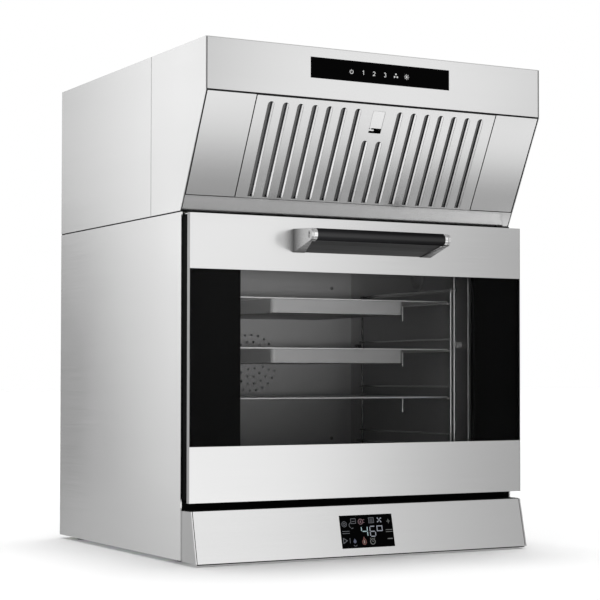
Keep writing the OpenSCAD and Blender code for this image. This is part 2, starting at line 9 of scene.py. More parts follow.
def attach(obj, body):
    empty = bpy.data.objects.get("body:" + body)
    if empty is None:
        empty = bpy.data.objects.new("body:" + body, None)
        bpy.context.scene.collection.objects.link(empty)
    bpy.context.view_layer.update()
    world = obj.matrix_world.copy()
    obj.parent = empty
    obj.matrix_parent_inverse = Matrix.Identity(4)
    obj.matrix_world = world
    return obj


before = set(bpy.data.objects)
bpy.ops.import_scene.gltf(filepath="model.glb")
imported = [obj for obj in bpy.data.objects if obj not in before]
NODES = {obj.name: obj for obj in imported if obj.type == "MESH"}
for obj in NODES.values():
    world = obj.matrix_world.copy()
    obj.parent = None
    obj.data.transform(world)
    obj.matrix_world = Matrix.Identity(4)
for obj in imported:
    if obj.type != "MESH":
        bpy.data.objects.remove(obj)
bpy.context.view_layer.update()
scene = bpy.context.scene


# ------------------------------------------------------------------ places
# The CAD source's own measures, in millimetres: Y from the side panels' front edge, Z from their bottom edge.
ORG_Y, FOOT = 225.5, 6.0


def P(x, y, z):
    """A place in the row frame, in metres."""
    return Vector((x / 1000, (y - ORG_Y) / 1000, (z + FOOT) / 1000))


def panel_matrix(origin, tilt_deg):
    """Local x to the right, local z up along a panel that leans by tilt_deg about X, local -y out of it. Local units are millimetres."""
    m = Matrix.Translation(P(*origin)) @ Matrix.Rotation(math.radians(tilt_deg), 4, "X")
    return m @ Matrix.Scale(0.001, 4)


CTL_TILT = math.degrees(math.atan2(-19.0, 77.2))
ON_CONTROL = panel_matrix((0, -32.5, 75.7), CTL_TILT)
ON_FASCIA = panel_matrix((0, -87.5, 703.6), 0.0)
SLOPE_TILT = math.degrees(math.atan2(79.36, 149.8))
ON_SLOPE = panel_matrix((0, -87.5, 703.6), SLOPE_TILT)


# ------------------------------------------------------------------ camera
# Solved from the photograph's own edges; the principal point lies right of and below the picture's centre.
CAM_AT, CAM_YAW, CAM_PITCH = P(-1394.05, -2488.50, 278.11), 0.52411, 0.02907
CAM_F_PX, CAM_CX, CAM_CY = 1781.14, 378.0, 325.0

cam_data = bpy.data.cameras.new("camera")
cam = bpy.data.objects.new("camera", cam_data)
scene.collection.objects.link(cam)
scene.camera = cam
cam_data.sensor_width = 36.0
cam_data.sensor_fit = "HORIZONTAL"
cam_data.lens = CAM_F_PX / 600.0 * 36.0
cam_data.shift_x = (300.0 - CAM_CX) / 600.0
cam_data.shift_y = (CAM_CY - 300.0) / 600.0
cam_data.clip_start, cam_data.clip_end = 0.05, 60.0
cam.location = CAM_AT
cam.rotation_euler = (math.pi / 2 + CAM_PITCH, 0.0, -CAM_YAW)


# ------------------------------------------------------------------ material helpers
class Mat:
    """A node material round one Principled shader."""

    def __init__(self, name, base, rough, metal=0.0, **extra):
        self.m = bpy.data.materials.new(name)
        self.m.use_nodes = True
        self.nt = self.m.node_tree
        self.nt.nodes.clear()
        self.out = self.add("ShaderNodeOutputMaterial")
        self.b = self.add("ShaderNodeBsdfPrincipled")
        self.link(self.b.outputs[0], self.out.inputs[0])
        self.b.inputs["Base Color"].default_value = (*base, 1.0)
        self.b.inputs["Roughness"].default_value = rough
        self.b.inputs["Metallic"].default_value = metal
        for k, v in extra.items():
            self.b.inputs[k.replace("_", " ")].default_value = v
        self.base, self.rough = base, rough

    def add(self, kind, **values):
        n = self.nt.nodes.new(kind)
        for k, v in values.items():
            setattr(n, k, v)
        return n

    def link(self, a, b):
        self.nt.links.new(a, b)

    def coords(self, scale=(1, 1, 1), rot=(0, 0, 0)):
        t = self.add("ShaderNodeTexCoord")
        mp = self.add("ShaderNodeMapping")
        mp.inputs["Scale"].default_value = scale
        mp.inputs["Rotation"].default_value = rot
        self.link(t.outputs["Object"], mp.inputs["Vector"])
        return mp.outputs["Vector"]

    def noise(self, vec, scale, detail=3.0, rough=0.5):
        n = self.add("ShaderNodeTexNoise")
        n.inputs["Scale"].default_value = scale
        n.inputs["Detail"].default_value = detail
        n.inputs["Roughness"].default_value = rough
        self.link(vec, n.inputs["Vector"])
        return n.outputs["Fac"]

    def span(self, fac, lo, hi, src=(0.3, 0.7)):
        r = self.add("ShaderNodeMapRange")
        r.inputs["From Min"].default_value, r.inputs["From Max"].default_value = src
        r.inputs["To Min"].default_value, r.inputs["To Max"].default_value = lo, hi
        self.link(fac, r.inputs["Value"])
        return r.outputs["Result"]

    def shade(self, fac, lo, hi, base=None, src=(0.3, 0.7)):
        """Base colour times a factor between lo and hi."""
        base = base or self.base
        r = self.add("ShaderNodeMapRange")
        r.data_type = "FLOAT_VECTOR"
        self.link(fac, r.inputs["Vector"])
        r.inputs["From Min"].default_value = (src[0],) * 3
        r.inputs["From Max"].default_value = (src[1],) * 3
        r.inputs[9].default_value = tuple(c * lo for c in base)
        r.inputs[10].default_value = tuple(c * hi for c in base)
        self.link(r.outputs["Vector"], self.b.inputs["Base Color"])
        return r.outputs["Vector"]

    def bump(self, fac, strength, distance, normal=None):
        b = self.add("ShaderNodeBump")
        b.inputs["Strength"].default_value = strength
        b.inputs["Distance"].default_value = distance
        self.link(fac, b.inputs["Height"])
        if normal is not None:
            self.link(normal, b.inputs["Normal"])
        self.link(b.outputs["Normal"], self.b.inputs["Normal"])
        return b.outputs["Normal"]


def brushed(name, base, rough, grain, fine=0.006, var=0.012, bump=0.012, cloud=0.02, streak=700.0, metal=1.0):
    """Brushed sheet steel. grain is the axis that the brushing runs along: 'x', 'y' or 'z'."""
    k = Mat(name, base, rough, metal)
    long, across = 7.0, streak
    sc = {"x": (long, across, across), "y": (across, long, across), "z": (across, across, long)}[grain]
    fine_fac = k.noise(k.coords(sc), 1.0, 2.0, 0.6)
    wide = {"x": (1.2, 26, 26), "y": (26, 1.2, 26), "z": (26, 26, 1.2)}[grain]
    wide_fac = k.noise(k.coords(wide), 1.0, 2.0, 0.5)
    soft_fac = k.noise(k.coords(), 3.1, 2.0, 0.5)
    mix = k.add("ShaderNodeMath", operation="ADD")
    k.link(k.span(fine_fac, -fine, fine), mix.inputs[0])
    k.link(k.span(wide_fac, -fine * 0.5, fine * 0.5), mix.inputs[1])
    one = k.add("ShaderNodeMath", operation="ADD")
    k.link(mix.outputs[0], one.inputs[0])
    one.inputs[1].default_value = 0.5
    k.shade(one.outputs[0], 0.0, 2.0, src=(0.0, 1.0))
    rr = k.add("ShaderNodeMath", operation="ADD")
    k.link(k.span(fine_fac, rough - var, rough + var), rr.inputs[0])
    k.link(k.span(soft_fac, -cloud, cloud), rr.inputs[1])
    k.link(rr.outputs[0], k.b.inputs["Roughness"])
    k.bump(fine_fac, bump, 0.00004)
    return k


def put(mat, *names):
    for n in names:
        o = NODES[n]
        o.data.materials.clear()
        o.data.materials.append(mat.m)


def flat(*names):
    for n in names:
        for p in NODES[n].data.polygons:
            p.use_smooth = False


# ------------------------------------------------------------------ materials on the CAD nodes
side_steel = brushed("side_steel", (0.66, 0.66, 0.66), 0.24, "y")
front_steel = brushed("front_steel", (0.68, 0.68, 0.68), 0.22, "x")
hood_steel = brushed("hood_steel", (0.68, 0.68, 0.68), 0.22, "x")
roof_steel = brushed("roof_steel", (0.50, 0.50, 0.50), 0.34, "x")
slope_steel = brushed("slope_steel", (0.68, 0.68, 0.68), 0.25, "x", fine=0.003, var=0.005, bump=0.003)
latch_steel = brushed("latch_steel", (0.74, 0.74, 0.74), 0.25, "x", fine=0.003, var=0.005, bump=0.003)
# Painted light: the strip under the filter is a lighter copy of the same steel, standing in for the light it mirrors.
strip_steel = brushed("strip_steel", (0.86, 0.86, 0.86), 0.20, "x")
bracket_steel = brushed("bracket_steel", (0.60, 0.60, 0.60), 0.28, "x")
# Painted shade: the control panel's cheeks and the door's edge trims are darker copies of the same steel, standing in
# for the shade on their sideways faces.
cheek_steel = brushed("cheek_steel", (0.45, 0.45, 0.45), 0.30, "z")
edge_steel = brushed("edge_steel", (0.34, 0.34, 0.34), 0.30, "z")
zinc = Mat("zinc_sheet", (0.48, 0.49, 0.50), 0.42, 0.9)
z = zinc.add("ShaderNodeTexVoronoi")
z.inputs["Scale"].default_value = 90.0
zinc.link(zinc.coords(), z.inputs["Vector"])
zinc.shade(z.outputs["Color"], 0.86, 1.12, src=(0.0, 1.0))
zinc.link(zinc.span(zinc.noise(zinc.coords(), 30.0), 0.36, 0.50), zinc.b.inputs["Roughness"])

black = Mat("black_enamel", (0.003, 0.003, 0.003), 0.38)
black.b.inputs["Specular IOR Level"].default_value = 0.06
black.b.inputs["IOR"].default_value = 1.12
black.bump(black.noise(black.coords(), 900.0, 2.0), 0.06, 0.00003)
black.link(black.span(black.noise(black.coords(), 12.0), 0.33, 0.44), black.b.inputs["Roughness"])

mask = Mat("glass_print", (0.0015, 0.0015, 0.0015), 0.5)
mask.b.inputs["Specular IOR Level"].default_value = 0.02
mask.shade(mask.noise(mask.coords(), 40.0), 0.9, 1.1)

cavity = brushed("cavity_steel", (0.32, 0.32, 0.32), 0.45, "x", streak=400.0, metal=0.55)
chamber = brushed("chamber_steel", (0.32, 0.32, 0.32), 0.45, "x", streak=400.0, metal=0.55)
trays = brushed("tray_steel", (0.30, 0.30, 0.30), 0.36, "x", streak=500.0, metal=0.5)
chrome = Mat("wire_chrome", (0.92, 0.92, 0.92), 0.16, 0.72)
chrome.link(chrome.span(chrome.noise(chrome.coords(), 60.0), 0.12, 0.22), chrome.b.inputs["Roughness"])
trim = Mat("trim_chrome", (0.80, 0.80, 0.80), 0.12, 1.0)
trim.link(trim.span(trim.noise(trim.coords(), 80.0), 0.08, 0.18), trim.b.inputs["Roughness"])
handle = Mat("handle_black", (0.014, 0.014, 0.015), 0.34)
handle.bump(handle.noise(handle.coords((12, 900, 900)), 1.0), 0.12, 0.00005)
handle.link(handle.span(handle.noise(handle.coords((4, 300, 300)), 1.0), 0.30, 0.42), handle.b.inputs["Roughness"])
touch = Mat("touch_glass", (0.0008, 0.0008, 0.0009), 0.06)
touch.b.inputs["Specular IOR Level"].default_value = 0.012
touch.link(touch.span(touch.noise(touch.coords(), 25.0), 0.04, 0.09), touch.b.inputs["Roughness"])
rubber = Mat("seal_rubber", (0.008, 0.008, 0.008), 0.7)
rubber.b.inputs["Specular IOR Level"].default_value = 0.1
rubber.bump(rubber.noise(rubber.coords(), 700.0), 0.15, 0.0001)
feet = Mat("feet_plastic", (0.03, 0.03, 0.03), 0.55)
feet.bump(feet.noise(feet.coords(), 500.0), 0.15, 0.0001)
wool = Mat("insulation_wool", (0.78, 0.74, 0.62), 0.95)
wool.bump(wool.noise(wool.coords((200, 30, 200)), 1.0, 6.0), 0.8, 0.002)
wool.shade(wool.noise(wool.coords(), 40.0, 5.0), 0.8, 1.1)
board = Mat("circuit_board", (0.03, 0.15, 0.06), 0.45)
board.shade(board.noise(board.coords(), 300.0), 0.8, 1.2)
motor = Mat("motor_iron", (0.12, 0.125, 0.13), 0.5, 0.4)
motor.bump(motor.noise(motor.coords(), 400.0), 0.2, 0.0002)
heater = Mat("heater_alloy", (0.10, 0.08, 0.07), 0.55, 0.6)
heater.shade(heater.noise(heater.coords(), 60.0), 0.7, 1.4)
hinge = Mat("hinge_steel", (0.45, 0.45, 0.44), 0.35, 1.0)
hinge.link(hinge.span(hinge.noise(hinge.coords(), 90.0), 0.28, 0.45), hinge.b.inputs["Roughness"])
alu = Mat("wheel_aluminium", (0.60, 0.61, 0.62), 0.35, 1.0)
alu.link(alu.span(alu.noise(alu.coords(), 70.0), 0.28, 0.42), alu.b.inputs["Roughness"])
mesh_m = Mat("mesh_aluminium", (0.10, 0.10, 0.105), 0.5, 0.8)
mesh_m.bump(mesh_m.noise(mesh_m.coords(), 700.0, 2.0), 0.8, 0.001)
brass = Mat("stud_brass", (0.70, 0.52, 0.22), 0.30, 1.0)
brass.link(brass.span(brass.noise(brass.coords(), 150.0), 0.24, 0.38), brass.b.inputs["Roughness"])
bulb = Mat("lamp_bulb_glass", (0.95, 0.92, 0.84), 0.4)
bulb.shade(bulb.noise(bulb.coords(), 50.0), 0.95, 1.0)


def pane(name, tint, k_fresnel, rough):
    """Clear glass as a thin pane: what is behind it, darkened a little, and a reflection that grows with the angle."""
    m = bpy.data.materials.new(name)
    m.use_nodes = True
    nt = m.node_tree
    nt.nodes.clear()
    out = nt.nodes.new("ShaderNodeOutputMaterial")
    mix = nt.nodes.new("ShaderNodeMixShader")
    see = nt.nodes.new("ShaderNodeBsdfTransparent")
    see.inputs["Color"].default_value = (*tint, 1.0)
    gl = nt.nodes.new("ShaderNodeBsdfGlossy")
    gl.inputs["Roughness"].default_value = rough
    fr = nt.nodes.new("ShaderNodeFresnel")
    fr.inputs["IOR"].default_value = 1.5
    mul = nt.nodes.new("ShaderNodeMath")
    mul.operation = "MULTIPLY"
    mul.inputs[1].default_value = k_fresnel
    nt.links.new(fr.outputs[0], mul.inputs[0])
    nt.links.new(mul.outputs[0], mix.inputs[0])
    nt.links.new(see.outputs[0], mix.inputs[1])
    nt.links.new(gl.outputs[0], mix.inputs[2])
    nt.links.new(mix.outputs[0], out.inputs[0])
    return m


door_glass = pane("door_glass", (0.93, 0.93, 0.93), 0.05, 0.02)
frosted = Mat("lamp_glass", (0.20, 0.20, 0.20), 0.35)
frosted.bump(frosted.noise(frosted.coords(), 220.0), 0.1, 0.0003)


class Raw:
    def __init__(self, m):
        self.m = m


put(side_steel, "side_panels", "hood_front_sides", "hood_rear_sides")
put(cheek_steel, "fascia_cheeks")
put(edge_steel, "door_edge_trims")
put(hood_steel, "hood_fascia")
put(roof_steel, "hood_top")
put(slope_steel, "hood_blanks", "filter_panel")
put(latch_steel, "filter_latch")
put(strip_steel, "hood_lower_strip")
put(bracket_steel, "handle_brackets")
put(front_steel, "door_top_strip", "door_bottom_strip", "control_fascia")
put(zinc, "base_pan", "top_panel", "rear_panel", "hood_base", "hood_back", "blower_housing")
put(black, "front_frame", "front_ledge", "door_rails")
put(mask, "door_glass_mask")
put(cavity, "cavity_shell")
put(chamber, "fan_cover", "door_inner_pan", "lamp_holder", "steam_pipe", "drain_spout")
put(chrome, "rack_left", "rack_right")
put(trim, "handle_caps", "casing_screws")
put(trays, "tray_upper", "tray_middle", "tray_lower")
put(Raw(door_glass), "door_outer_glass", "door_inner_glass")
put(frosted, "lamp_glass")
put(bulb, "lamp_bulb")
put(rubber, "door_gasket")
put(feet, "feet", "cable_gland")
put(wool, "cavity_insulation")
put(touch, "display_glass", "hood_touch_panel")
put(handle, "handle_grip")
put(board, "control_board")
put(motor, "fan_motor", "blower_motor")
put(heater, "ring_heater")
put(hinge, "hinge_receivers", "hinge_arms")
put(alu, "fan_wheel", "blower_wheel", "condenser_core")
put(mesh_m, "filter_mesh")
put(brass, "earth_stud")


# ------------------------------------------------------------------ marks on the touch panels
def ribbon(bm, pts, width, closed=False, depth=0.06):
    """A flat line of one width along 2D points, with mitred corners, as a thin solid. Local x and z, out along -y."""
    n = len(pts)
    left, right = [], []
    for i, p in enumerate(pts):
        a = pts[i - 1] if (closed or i > 0) else None
        b = pts[(i + 1) % n] if (closed or i < n - 1) else None
        p = Vector(p)
        d1 = (p - Vector(a)).normalized() if a is not None else None
        d2 = (Vector(b) - p).normalized() if b is not None else None
        d1, d2 = d1 or d2, d2 or d1
        t = (d1 + d2)
        t = t.normalized() if t.length > 1e-6 else d1
        nrm = Vector((-t.y, t.x))
        k = width / 2 / max(0.4, nrm.dot(Vector((-d1.y, d1.x))))
        left.append(p + nrm * k)
        right.append(p - nrm * k)
    rows = []
    for y in (0.0, -depth):
        rows.append([(bm.verts.new((l.x, y, l.y)), bm.verts.new((r.x, y, r.y))) for l, r in zip(left, right)])
    last = n if closed else n - 1
    for i in range(last):
        j = (i + 1) % n
        (a0, b0), (a1, b1) = rows[0][i], rows[0][j]
        (c0, d0), (c1, d1_) = rows[1][i], rows[1][j]
        for f in ((a0, b0, b1, a1), (c0, c1, d1_, d0), (a0, a1, c1, c0), (b0, d0, d1_, b1)):
            bm.faces.new(f)
    if not closed:
        for i in (0, n - 1):
            (a, b), (c, d) = rows[0][i], rows[1][i]
            bm.faces.new((a, c, d, b) if i == 0 else (a, b, d, c))


def filled(bm, pts, depth=0.06):
    top = [bm.verts.new((x, -depth, z_)) for x, z_ in pts]
    bot = [bm.verts.new((x, 0.0, z_)) for x, z_ in pts]
    bm.faces.new(top)
    bm.faces.new(list(reversed(bot)))
    for i in range(len(pts)):
        j = (i + 1) % len(pts)
        bm.faces.new((top[i], bot[i], bot[j], top[j]))


def arc(cx, cz, r, a0, a1, n=24, rz=None):
    rz = rz or r
    return [(cx + r * math.cos(math.radians(a0 + (a1 - a0) * i / n)), cz + rz * math.sin(math.radians(a0 + (a1 - a0) * i / n))) for i in range(n + 1)]


def ring(cx, cz, r, n=28, rz=None):
    return arc(cx, cz, r, 0, 360 * (n - 1) / n, n - 1, rz)


def marks(name, matrix, body, mat, draw, lift=0.02):
    """One piece made of flat marks, standing a little proud of the panel it is on."""
    bm = bmesh.new()
    draw(bm)
    bmesh.ops.recalc_face_normals(bm, faces=bm.faces)
    me = bpy.data.meshes.new(name)
    bm.to_mesh(me)
    bm.free()
    me.transform(matrix @ Matrix.Translation((0, -lift, 0)))
    me.materials.append(mat.m)
    o = bpy.data.objects.new(name, me)
    scene.collection.objects.link(o)
    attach(o, body)
    return o


def lit(name, colour, strength, base=(0.03, 0.03, 0.03)):
    """Printed or lit marks: the light of each varies a little over the panel."""
    k = Mat(name, base, 0.5)
    k.b.inputs["Emission Color"].default_value = (*colour, 1.0)
    k.b.inputs["Emission Strength"].default_value = strength
    k.shade(k.noise(k.coords(), 400.0), 0.9, 1.1)
    return k


mark_white = lit("mark_white", (1.0, 1.0, 1.0), 0.42, base=(0.2, 0.2, 0.2))
led_white = lit("led_white", (0.80, 0.86, 1.0), 0.29)
led_cyan = lit("led_cyan", (0.62, 0.86, 0.92), 0.46)
led_dim = lit("led_dim", (0.70, 0.74, 0.86), 0.10)
led_grey = lit("led_grey", (0.80, 0.84, 0.82), 0.13)
led_rose = lit("led_rose", (0.75, 0.36, 0.44), 0.13)
led_red = lit("led_red", (0.9, 0.20, 0.14), 0.13)
led_blue = lit("led_blue", (0.36, 0.42, 0.75), 0.14)

TOUCH_Z = 751.0 - 703.6


def hood_marks(bm):
    w = 1.0

    def at(cx, pts, k=0.82):
        return [(cx + x * k, TOUCH_Z + z_ * k) for x, z_ in pts]

    # Power sign: an open ring with a stroke.
    ribbon(bm, at(-53.6, arc(0, 0, 3.5, 125, 415, 26)), w)
    ribbon(bm, at(-53.6, [(0, 1.0), (0, 4.4)]), w)
    # 1, 2 and 3.
    ribbon(bm, at(-32.5, [(-1.7, 2.4), (0.4, 3.9), (0.4, -3.9)]), w)
    ribbon(bm, at(-13.4, arc(0, 1.75, 2.15, 165, -35, 12) + [(-2.2, -3.4), (2.4, -3.4)]), w)
    ribbon(bm, at(6.3, arc(0, 1.9, 1.95, 150, -75, 12)), w)
    ribbon(bm, at(6.3, arc(0, -1.85, 2.15, 75, -150, 12)), w)
    # Three dots.
    for x, z_ in ((0, 3.2), (-3.0, -2.0), (3.0, -2.0)):
        filled(bm, at(26.2, ring(x, z_, 1.75, 16)))
    # The lamp: a small disc with rays.
    filled(bm, ring(45.8, TOUCH_Z, 1.5, 16))
    for i in range(8):
        a = math.radians(i * 45)
        c, s = math.cos(a), math.sin(a)
        ribbon(bm, [(45.8 + 2.3 * c, TOUCH_Z + 2.3 * s), (45.8 + 4.5 * c, TOUCH_Z + 4.5 * s)], 0.8)


marks("hood_touch_marks", ON_FASCIA, "cabinet", mark_white, hood_marks, lift=0.31)

DISP_W, DISP_H = 95.0, 51.8


def D(u, v):
    """A place on the oven's display: u from its left edge, v down from its top edge, as shares."""
    return (-47.5 + u * DISP_W, -15.9 - v * DISP_H)


def Q(u, v, dx, dz):
    x, z_ = D(u, v)
    return (x + dx, z_ + dz)


def display_digits(bm):
    w = 1.5
    # The four, its left stroke and bar.
    x0, z0 = D(0.395, 0.372)
    x1, z1 = D(0.505, 0.650)
    zm = D(0, 0.505)[1]
    ribbon(bm, [(x0, z0), (x0, zm + 0.6)], w)
    ribbon(bm, [(x0 + 1.6, zm), (x1 - 1.4, zm)], w)
    ribbon(bm, [(x1, z0), (x1, zm + 0.6)], w)
    ribbon(bm, [(x1, zm - 0.6), (x1, z1)], w)


def display_digits_two(bm):
    w = 1.5
    x0, z0 = D(0.556, 0.362)
    x1, z1 = D(0.655, 0.668)
    zm = D(0, 0.515)[1]
    ribbon(bm, [(x0 + 1.0, z0), (x1 - 1.0, z0)], w)
    ribbon(bm, [(x0, z0 - 0.9), (x0, zm + 0.6)], w)
    ribbon(bm, [(x0, zm - 0.6), (x0, z1 + 0.9)], w)
    ribbon(bm, [(x0 + 1.0, z1), (x1 - 1.0, z1)], w)
    ribbon(bm, [(x1, zm - 0.9), (x1, z1 + 0.9)], w)
    ribbon(bm, [(x0 + 1.0, zm), (x1 - 1.0, zm)], w)
    # The small raised nought.
    x0, z0 = D(0.693, 0.360)
    x1, z1 = D(0.790, 0.508)
    ribbon(bm, [(x0, z0), (x1, z0), (x1, z1), (x0, z1)], 1.35, closed=True)


def display_fan(bm):
    x, z_ = D(0.750, 0.176)
    for i in range(4):
        a = math.radians(45 + 90 * i)
        c, s = math.cos(a), math.sin(a)
        pts = [(x + 0.9 * c, z_ + 0.9 * s), (x + 3.2 * c - 1.0 * s, z_ + 3.2 * s + 1.0 * c), (x + 5.2 * c - 0.4 * s, z_ + 5.2 * s + 0.4 * c),
               (x + 5.0 * c + 1.3 * s, z_ + 5.0 * s - 1.3 * c), (x + 2.8 * c + 0.7 * s, z_ + 2.8 * s - 0.7 * c)]
        filled(bm, pts)
    filled(bm, ring(x, z_, 1.0, 12))


def display_dim(bm):
    w = 0.8
    x, z_ = D(0.080, 0.262)
    ribbon(bm, ring(x, z_, 4.2), w, closed=True)
    ribbon(bm, ring(x, z_, 1.9, 16), w, closed=True)
    # An oven box.
    x, z_ = D(0.254, 0.178)
    ribbon(bm, [(x - 4.2, z_ - 3.8), (x + 4.2, z_ - 3.8), (x + 4.2, z_ + 3.8), (x - 4.2, z_ + 3.8)], w, closed=True)
    ribbon(bm, [(x - 2.6, z_ - 0.6), (x + 2.6, z_ - 0.6)], w)
    ribbon(bm, arc(*Q(0.215, 0.300, 0, 0), 4.2, 110, 250, 12), w)
    ribbon(bm, [Q(0.205, 0.405, 0, 0), Q(0.245, 0.385, 0, 0)], 1.0)
    # Separators on the left.
    ribbon(bm, [D(0.030, 0.480), D(0.165, 0.480)], w)
    ribbon(bm, [D(0.030, 0.545), D(0.165, 0.545)], w)
    # Start sign and its bar.
    x, z_ = D(0.066, 0.765)
    ribbon(bm, [(x - 3.0, z_ + 4.0), (x + 3.6, z_), (x - 3.0, z_ - 4.0)], 1.1, closed=True)
    ribbon(bm, [Q(0.157, 0.765, 0, 4.2), Q(0.157, 0.765, 0, -4.2)], w)
    # The grill box.
    x, z_ = D(0.596, 0.176)
    ribbon(bm, [(x - 4.4, z_ - 4.0), (x + 4.4, z_ - 4.0), (x + 4.4, z_ + 4.0), (x - 4.4, z_ + 4.0)], 0.9, closed=True)
    for k in (-1.9, 0.0, 1.9):
        ribbon(bm, [(x - 3.0, z_ + k), (x + 3.0, z_ + k)], 0.7)
    # The drop's dish.
    ribbon(bm, arc(*D(0.250, 0.885), 3.0, 200, 340, 8), 0.8)


def display_grey(bm):
    # Plus, minus and their separators.
    x, z_ = D(0.922, 0.225)
    ribbon(bm, [(x, z_ + 3.4), (x, z_ - 3.4)], 1.0)
    ribbon(bm, [(x - 3.0, z_), (x + 3.0, z_)], 1.0)
    ribbon(bm, [D(0.855, 0.487), D(0.985, 0.487)], 0.8)
    ribbon(bm, [D(0.855, 0.548), D(0.985, 0.548)], 0.8)
    x, z_ = D(0.922, 0.762)
    ribbon(bm, [(x - 4.6, z_), (x + 4.6, z_)], 1.3)
    # The clock.
    x, z_ = D(0.585, 0.828)
    ribbon(bm, ring(x, z_, 4.2), 1.1, closed=True)
    ribbon(bm, [(x, z_ + 2.2), (x, z_), (x + 1.6, z_)], 0.8)
    for s in (-1, 1):
        ribbon(bm, [(x + s * 2.6, z_ + 5.8), (x + s * 4.2, z_ + 4.4)], 0.9)


def display_rose(bm):
    x, z_ = D(0.392, 0.205)
    ribbon(bm, ring(x, z_, 4.0), 1.3, closed=True)
    filled(bm, [(x - 1.6, z_ - 1.8), (x + 1.6, z_ - 1.8), (x + 1.2, z_ + 0.8), (x, z_ + 2.6), (x - 1.2, z_ + 0.8)])
    ribbon(bm, arc(x + 6.0, z_ + 0.6, 2.4, 60, 300, 10), 0.9)


def display_flame(bm):
    x, z_ = D(0.424, 0.805)
    outer = [(0, 6.2), (1.5, 3.4), (3.4, 0.6), (3.5, -2.4), (1.8, -5.0), (-1.8, -5.0), (-3.5, -2.4), (-3.2, 0.4), (-1.8, 1.6), (-1.0, 3.8)]
    ribbon(bm, [(x + a, z_ + b) for a, b in outer], 1.1, closed=True)


def display_flame_core(bm):
    x, z_ = D(0.424, 0.805)
    filled(bm, [(x - 1.2, z_ - 3.6), (x + 1.2, z_ - 3.6), (x + 1.4, z_ - 0.6), (x, z_ + 3.2), (x - 1.4, z_ - 0.6)])


def display_drop(bm):
    x, z_ = D(0.247, 0.785)
    filled(bm, [(x + 2.6 * math.sin(math.radians(a)), z_ - 1.0 - 2.6 * math.cos(math.radians(a))) for a in range(-120, 121, 20)] + [(x, z_ + 4.0)])


for name, mat, draw in (
    ("display_digit_four", led_cyan, display_digits),
    ("display_digits", led_white, display_digits_two),
    ("display_fan_sign", led_white, display_fan),
    ("display_signs", led_dim, display_dim),
    ("display_keys", led_grey, display_grey),
    ("display_rose_sign", led_rose, display_rose),
    ("display_flame", led_red, display_flame),
    ("display_flame_core", lit("led_pale", (0.9, 0.62, 0.54), 0.26), display_flame_core),
    ("display_drop", led_blue, display_drop),
):
    marks(name, ON_CONTROL, "cabinet", mat, draw, lift=0.31)


# ------------------------------------------------------------------ dark rubber strips in the joints of the sheets, partly seals and partly painted shade
SLOPE_L, STRIP_L, CTL_L = 169.523, 196.75, 79.504
OVEN_H, TOTAL_H, IN_W = 530.0, 784.0, 299.8


def strip(bm, m, a, b, chamfer=0.12):
    """A thin rubber strip from corner a to corner b in a panel's own millimetres, with its long edges broken."""
    size = [b[i] - a[i] for i in range(3)]
    made = bmesh.ops.create_cube(bm, size=1.0)["verts"]
    bmesh.ops.scale(bm, vec=size, verts=made)
    bmesh.ops.translate(bm, vec=[(a[i] + b[i]) / 2 for i in range(3)], verts=made)
    edges = list({e for v in made for e in v.link_edges})
    cut = bmesh.ops.bevel(bm, geom=edges, offset=min(chamfer, min(size) * 0.2), segments=1, affect="EDGES")
    verts = list({v for f in cut["faces"] for v in f.verts} | {v for v in made if v.is_valid})
    bmesh.ops.transform(bm, matrix=m, verts=verts)


def both(bm, m, a, b, chamfer=0.12):
    strip(bm, m, a, b, chamfer)
    strip(bm, m, (-b[0], a[1], a[2]), (-a[0], b[1], b[2]), chamfer)


UPRIGHT = panel_matrix((0, 0, 0), 0.0)


def shade_strips():
    # Partly seals, partly painted shade: these dark strips fill the gaps between the sheets and darken them as the
    # shade inside would; the one under the control panel is a painted shadow under its edge.
    bm = bmesh.new()
    # Between the oven's casing and the hood, on both sides and at the back.
    both(bm, UPRIGHT, (IN_W + 0.02, 0.6, OVEN_H - 0.95), (IN_W + 0.45, 525.6, OVEN_H + 1.15))
    # The upright joint of the hood's side sheets, and the groove above it.
    both(bm, UPRIGHT, (IN_W + 0.05, 118.25, OVEN_H + 1.25), (IN_W + 0.5, 119.35, TOTAL_H - 0.6))
    strip(bm, UPRIGHT, (-IN_W - 1.0, 118.25, TOTAL_H - 0.48), (IN_W + 1.0, 119.35, TOTAL_H - 0.2))
    # Between the hood's sides and its front sheets.
    both(bm, UPRIGHT, (IN_W - 1.56, -86.95, 706.0), (IN_W - 0.04, -86.35, TOTAL_H - 1.3))
    both(bm, ON_SLOPE, (IN_W - 2.36, 0.55, -SLOPE_L), (IN_W - 0.04, 1.15, -0.9))
    both(bm, ON_SLOPE, (IN_W - 1.16, 0.55, -STRIP_L + 0.4), (IN_W - 0.04, 1.15, -SLOPE_L - 0.1))
    # Under the upright front, and beside the filter.
    strip(bm, ON_SLOPE, (-297.0, 2.1, -1.15), (297.0, 2.9, 3.0))
    both(bm, ON_SLOPE, (215.05, 1.5, -SLOPE_L + 2.0), (216.5, 2.4, -1.5))
    both(bm, ON_SLOPE, (216.9, 0.7, -SLOPE_L + 0.46), (297.2, 1.15, -SLOPE_L + 1.74))
    # Between the control panel and its cheeks.
    both(bm, ON_CONTROL, (IN_W - 4.46, 0.55, -CTL_L + 0.4), (IN_W - 3.34, 1.15, -0.4))
    # On the ledge under the door, and under the control panel.
    strip(bm, UPRIGHT, (-297.2, -30.5, 75.14), (297.2, -0.4, 76.4))
    strip(bm, UPRIGHT, (-295.0, -50.4, -3.3), (295.0, -47.0, -1.65))
    bmesh.ops.recalc_face_normals(bm, faces=bm.faces)
    me = bpy.data.meshes.new("seam_shade_strips")
    bm.to_mesh(me)
    bm.free()
    me.materials.append(rubber.m)
    o = bpy.data.objects.new("seam_shade_strips", me)
    scene.collection.objects.link(o)
    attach(o, "cabinet")


shade_strips()


